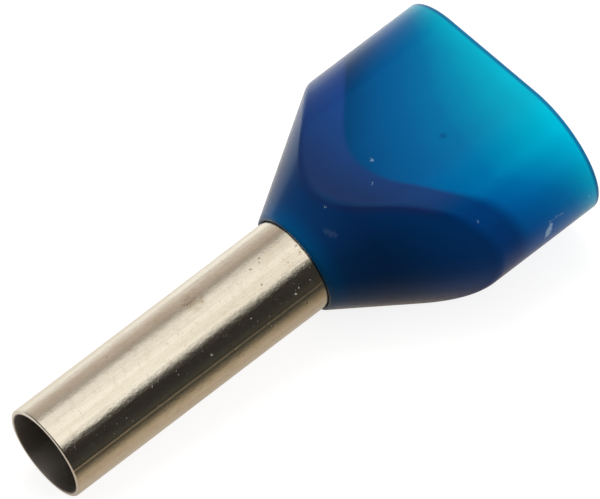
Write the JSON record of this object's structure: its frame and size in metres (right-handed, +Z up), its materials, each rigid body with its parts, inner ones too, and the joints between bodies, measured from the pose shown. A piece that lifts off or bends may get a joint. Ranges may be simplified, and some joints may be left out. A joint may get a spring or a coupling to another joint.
{
  "type": "wire ferrule",
  "caption": "Twin-entry wire end ferrule: a thin tinned metal tube with a flared inner end, held in an oval-mouthed translucent blue plastic collar.",
  "frame": {"origin": "on the table under the middle of the ferrule's length, which lies with the pin's tip and the near end of the collar's flat touching the table", "axes": "+X runs from the pin's tip towards the collar's mouth, along the table; the ferrule's own axis rises 4.6 degrees from it. +Y is across the collar's width and +Z is up."},
  "size_m": [0.0188, 0.009, 0.0055],
  "materials": {
    "tinned_copper": "tin plate on drawn copper, bright with fine lengthwise drawing lines, small pits and a few brown stains",
    "collar_plastic": "moulded translucent blue polypropylene, smooth and slightly glossy, lighter where the wall is thin"
  },
  "bodies": {
    "root": {"sleeve": "tinned_copper", "collar": "collar_plastic"}
  },
  "joints": []
}
